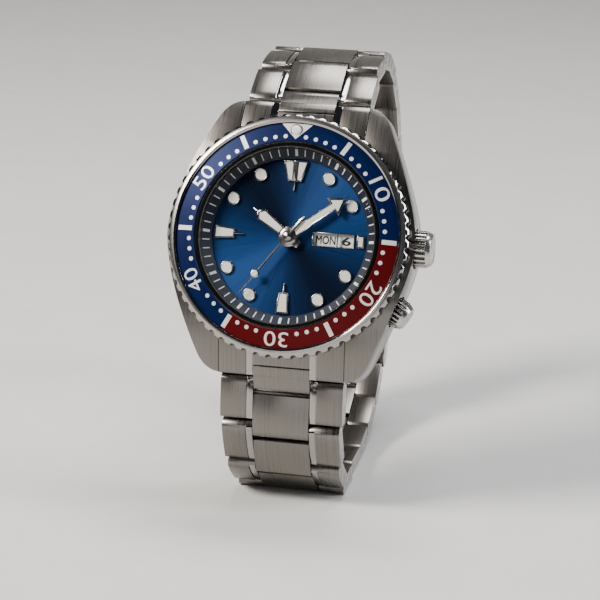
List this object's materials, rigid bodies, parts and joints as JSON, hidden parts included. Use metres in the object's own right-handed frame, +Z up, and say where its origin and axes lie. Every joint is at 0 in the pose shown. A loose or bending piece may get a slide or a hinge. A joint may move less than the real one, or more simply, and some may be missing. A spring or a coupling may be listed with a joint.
{
  "type": "wristwatch",
  "caption": "Diver's wristwatch with a turning two-colour bezel, day and date window, two crowns and a folding steel link bracelet.",
  "frame": {"origin": "centre of the flat underside of the fourth link row of the 6 o'clock strap, on which the closed watch stands", "axes": "+Z up, +X toward the 3 o'clock side, dial facing -Y and leaning back so that its gaze rises 23.7 degrees"},
  "size_m": [0.0457, 0.066, 0.0736],
  "materials": {
    "brushed_steel": "satin brushed",
    "polished_steel": "polished",
    "insert_aluminium": "satin anodised, blue and red",
    "dial_paint": "sunburst lacquer",
    "ring_paint": "satin paint",
    "lume": "matte",
    "disc_paint": "matte",
    "brass": "plain",
    "rubber": "matte",
    "nylon": "matte",
    "crystal_glass": "clear polished"
  },
  "bodies": {
    "case": {"mid_case": "brushed_steel", "case_back": "brushed_steel", "case_back_gasket": "rubber", "crystal": "crystal_glass", "crystal_gasket": "nylon", "chapter_ring": "ring_paint", "dial": "dial_paint", "hour_markers": "polished_steel", "marker_lume": "lume", "window_frame": "polished_steel", "movement_holder": "nylon", "mainplate": "brass", "movement_bridge": "polished_steel", "mainspring_barrel": "brass", "balance_cock": "polished_steel", "rotor_bearing": "brushed_steel", "crown_tubes": "polished_steel", "bezel_click_spring": "brushed_steel", "end_link_12": "brushed_steel", "end_link_6": "brushed_steel", "end_link_bars": "polished_steel"},
    "bezel": {"bezel_ring": "brushed_steel", "bezel_insert": "insert_aluminium", "bezel_pearl": "lume", "bezel_gasket": "rubber"},
    "hour": {"hour_hand": "polished_steel", "hour_hand_lume": "lume"},
    "minute": {"minute_hand": "polished_steel", "minute_hand_lume": "lume"},
    "second": {"second_hand": "polished_steel"},
    "date": {"date_ring": "disc_paint"},
    "day": {"day_disc": "disc_paint"},
    "rotor_weight": {"rotor": "brushed_steel"},
    "balance": {"balance_wheel": "brass"},
    "main_lever": {"setting_lever": "brass"},
    "main_crown": {"crown_main": "brushed_steel", "winding_stem": "polished_steel"},
    "lower_lever": {"second_lever": "brass"},
    "lower_crown": {"crown_second": "brushed_steel", "second_stem": "polished_steel"},
    "cover": {"clasp_cover": "brushed_steel"},
    "blade_outer": {"clasp_blade_outer": "polished_steel"},
    "blade_inner": {"clasp_blade_inner": "polished_steel"},
    "button_left": {"clasp_button_left": "polished_steel"},
    "button_right": {"clasp_button_right": "polished_steel"},
    "row_12_1": {"link_12_1": "brushed_steel"},
    "row_12_2": {"link_12_2": "brushed_steel"},
    "row_12_3": {"link_12_3": "brushed_steel"},
    "row_12_4": {"link_12_4": "brushed_steel"},
    "row_12_5": {"link_12_5": "brushed_steel"},
    "row_12_6": {"link_12_6": "brushed_steel"},
    "row_12_7": {"link_12_7": "brushed_steel"},
    "row_6_1": {"link_6_1": "brushed_steel"},
    "row_6_2": {"link_6_2": "brushed_steel"},
    "row_6_3": {"link_6_3": "brushed_steel"},
    "row_6_4": {"link_6_4": "brushed_steel"},
    "row_6_5": {"link_6_5": "brushed_steel"},
    "row_6_6": {"link_6_6": "brushed_steel"},
    "row_6_7": {"link_6_7": "brushed_steel"},
    "row_6_8": {"link_6_8": "brushed_steel"}
  },
  "joints": [
    {"name": "bezel_turn", "type": "hinge", "parent": "case", "child": "bezel", "pos_m": [0, -0.00973, 0.04807], "axis": [0, -0.9157, 0.4019], "continuous": true},
    {"name": "minute_hand_turn", "type": "hinge", "parent": "case", "child": "minute", "pos_m": [0, -0.00973, 0.04807], "axis": [0, 0.9157, -0.4019], "continuous": true},
    {"name": "hour_hand_turn", "type": "hinge", "parent": "case", "child": "hour", "pos_m": [0, -0.00973, 0.04807], "axis": [0, 0.9157, -0.4019], "continuous": true},
    {"name": "second_hand_turn", "type": "hinge", "parent": "case", "child": "second", "pos_m": [0, -0.00973, 0.04807], "axis": [0, 0.9157, -0.4019], "continuous": true},
    {"name": "date_ring_turn", "type": "hinge", "parent": "case", "child": "date", "pos_m": [0, -0.00973, 0.04807], "axis": [0, 0.9157, -0.4019], "continuous": true},
    {"name": "day_disc_turn", "type": "hinge", "parent": "case", "child": "day", "pos_m": [0, -0.00973, 0.04807], "axis": [0, 0.9157, -0.4019], "continuous": true},
    {"name": "rotor_swing", "type": "hinge", "parent": "case", "child": "rotor_weight", "pos_m": [0, -0.00973, 0.04807], "axis": [0, -0.9157, 0.4019], "continuous": true},
    {"name": "balance_beat", "type": "hinge", "parent": "case", "child": "balance", "pos_m": [-0.00459, -0.01236, 0.04207], "axis": [0, -0.9157, 0.4019], "range_deg": [-270, 270], "stiffness_Nm_per_rad": 0.000001},
    {"name": "crown_pull", "type": "slide", "parent": "case", "child": "main_lever", "axis": [1, 0, 0], "range_m": [0, 0.0016]},
    {"name": "crown_turn", "type": "hinge", "parent": "main_lever", "child": "main_crown", "pos_m": [0, -0.00552, 0.04622], "axis": [1, 0, 0], "continuous": true},
    {"name": "second_crown_pull", "type": "slide", "parent": "case", "child": "lower_lever", "axis": [0.866, -0.201, -0.4578], "range_m": [0, 0.001]},
    {"name": "second_crown_turn", "type": "hinge", "parent": "lower_lever", "child": "lower_crown", "pos_m": [0, -0.00552, 0.04622], "axis": [0.866, -0.201, -0.4578], "continuous": true},
    {"name": "hinge_12_1", "type": "hinge", "parent": "case", "child": "row_12_1", "pos_m": [0, 0.0073, 0.06746], "axis": [1, 0, 0], "range_deg": [0, 46.3]},
    {"name": "hinge_12_2", "type": "hinge", "parent": "row_12_1", "child": "row_12_2", "pos_m": [0, 0.01436, 0.07121], "axis": [1, 0, 0], "range_deg": [0, 30]},
    {"name": "hinge_12_3", "type": "hinge", "parent": "row_12_2", "child": "row_12_3", "pos_m": [0, 0.02232, 0.07205], "axis": [1, 0, 0], "range_deg": [0, 30]},
    {"name": "hinge_12_4", "type": "hinge", "parent": "row_12_3", "child": "row_12_4", "pos_m": [0, 0.03001, 0.06985], "axis": [1, 0, 0], "range_deg": [0, 28]},
    {"name": "hinge_12_5", "type": "hinge", "parent": "row_12_4", "child": "row_12_5", "pos_m": [0, 0.03648, 0.06514], "axis": [1, 0, 0], "range_deg": [0, 24]},
    {"name": "hinge_12_6", "type": "hinge", "parent": "row_12_5", "child": "row_12_6", "pos_m": [0, 0.04141, 0.05884], "axis": [1, 0, 0], "range_deg": [0, 24]},
    {"name": "hinge_12_7", "type": "hinge", "parent": "row_12_6", "child": "row_12_7", "pos_m": [0, 0.04441, 0.05142], "axis": [1, 0, 0], "range_deg": [0, 24]},
    {"name": "hinge_6_1", "type": "hinge", "parent": "case", "child": "row_6_1", "pos_m": [0, -0.01247, 0.02241], "axis": [-1, 0, 0], "range_deg": [0, 24.7]},
    {"name": "hinge_6_2", "type": "hinge", "parent": "row_6_1", "child": "row_6_2", "pos_m": [0, -0.01345, 0.01447], "axis": [-1, 0, 0], "range_deg": [0, 34]},
    {"name": "hinge_6_3", "type": "hinge", "parent": "row_6_2", "child": "row_6_3", "pos_m": [0, -0.01085, 0.0069], "axis": [-1, 0, 0], "range_deg": [0, 37]},
    {"name": "hinge_6_4", "type": "hinge", "parent": "row_6_3", "child": "row_6_4", "pos_m": [0, -0.0049, 0.00155], "axis": [-1, 0, 0], "range_deg": [0, 50]},
    {"name": "hinge_6_5", "type": "hinge", "parent": "row_6_4", "child": "row_6_5", "pos_m": [0, 0.0031, 0.00155], "axis": [-1, 0, 0], "range_deg": [0, 8]},
    {"name": "hinge_6_6", "type": "hinge", "parent": "row_6_5", "child": "row_6_6", "pos_m": [0, 0.0111, 0.00155], "axis": [-1, 0, 0], "range_deg": [0, 20]},
    {"name": "hinge_6_7", "type": "hinge", "parent": "row_6_6", "child": "row_6_7", "pos_m": [0, 0.01893, 0.00321], "axis": [-1, 0, 0], "range_deg": [0, 22]},
    {"name": "hinge_6_8", "type": "hinge", "parent": "row_6_7", "child": "row_6_8", "pos_m": [0, 0.02612, 0.00672], "axis": [-1, 0, 0], "range_deg": [0, 26]},
    {"name": "clasp_cover_hinge", "type": "hinge", "parent": "row_6_8", "child": "cover", "pos_m": [0, 0.03187, 0.01228], "axis": [-1, 0, 0], "range_deg": [0, 30.79]},
    {"name": "clasp_open", "type": "hinge", "parent": "cover", "child": "blade_outer", "pos_m": [0, 0.04528, 0.04051], "axis": [-1, 0, 0], "range_deg": [0, 80]},
    {"name": "clasp_unfold", "type": "hinge", "parent": "blade_outer", "child": "blade_inner", "pos_m": [0, 0.0329, 0.01543], "axis": [1, 0, 0], "range_deg": [0, 110]},
    {"name": "button_left_press", "type": "slide", "parent": "cover", "child": "button_left", "axis": [1, 0, 0], "range_m": [0, 0.0005], "stiffness_N_per_m": 1500, "springref_m": -0.0005},
    {"name": "button_right_press", "type": "slide", "parent": "cover", "child": "button_right", "axis": [-1, 0, 0], "range_m": [0, 0.0005], "stiffness_N_per_m": 1500, "springref_m": -0.0005}
  ],
  "couplings": [
    {"joint": "hour_hand_turn", "follows": "minute_hand_turn", "ratio": 0.083333}
  ]
}
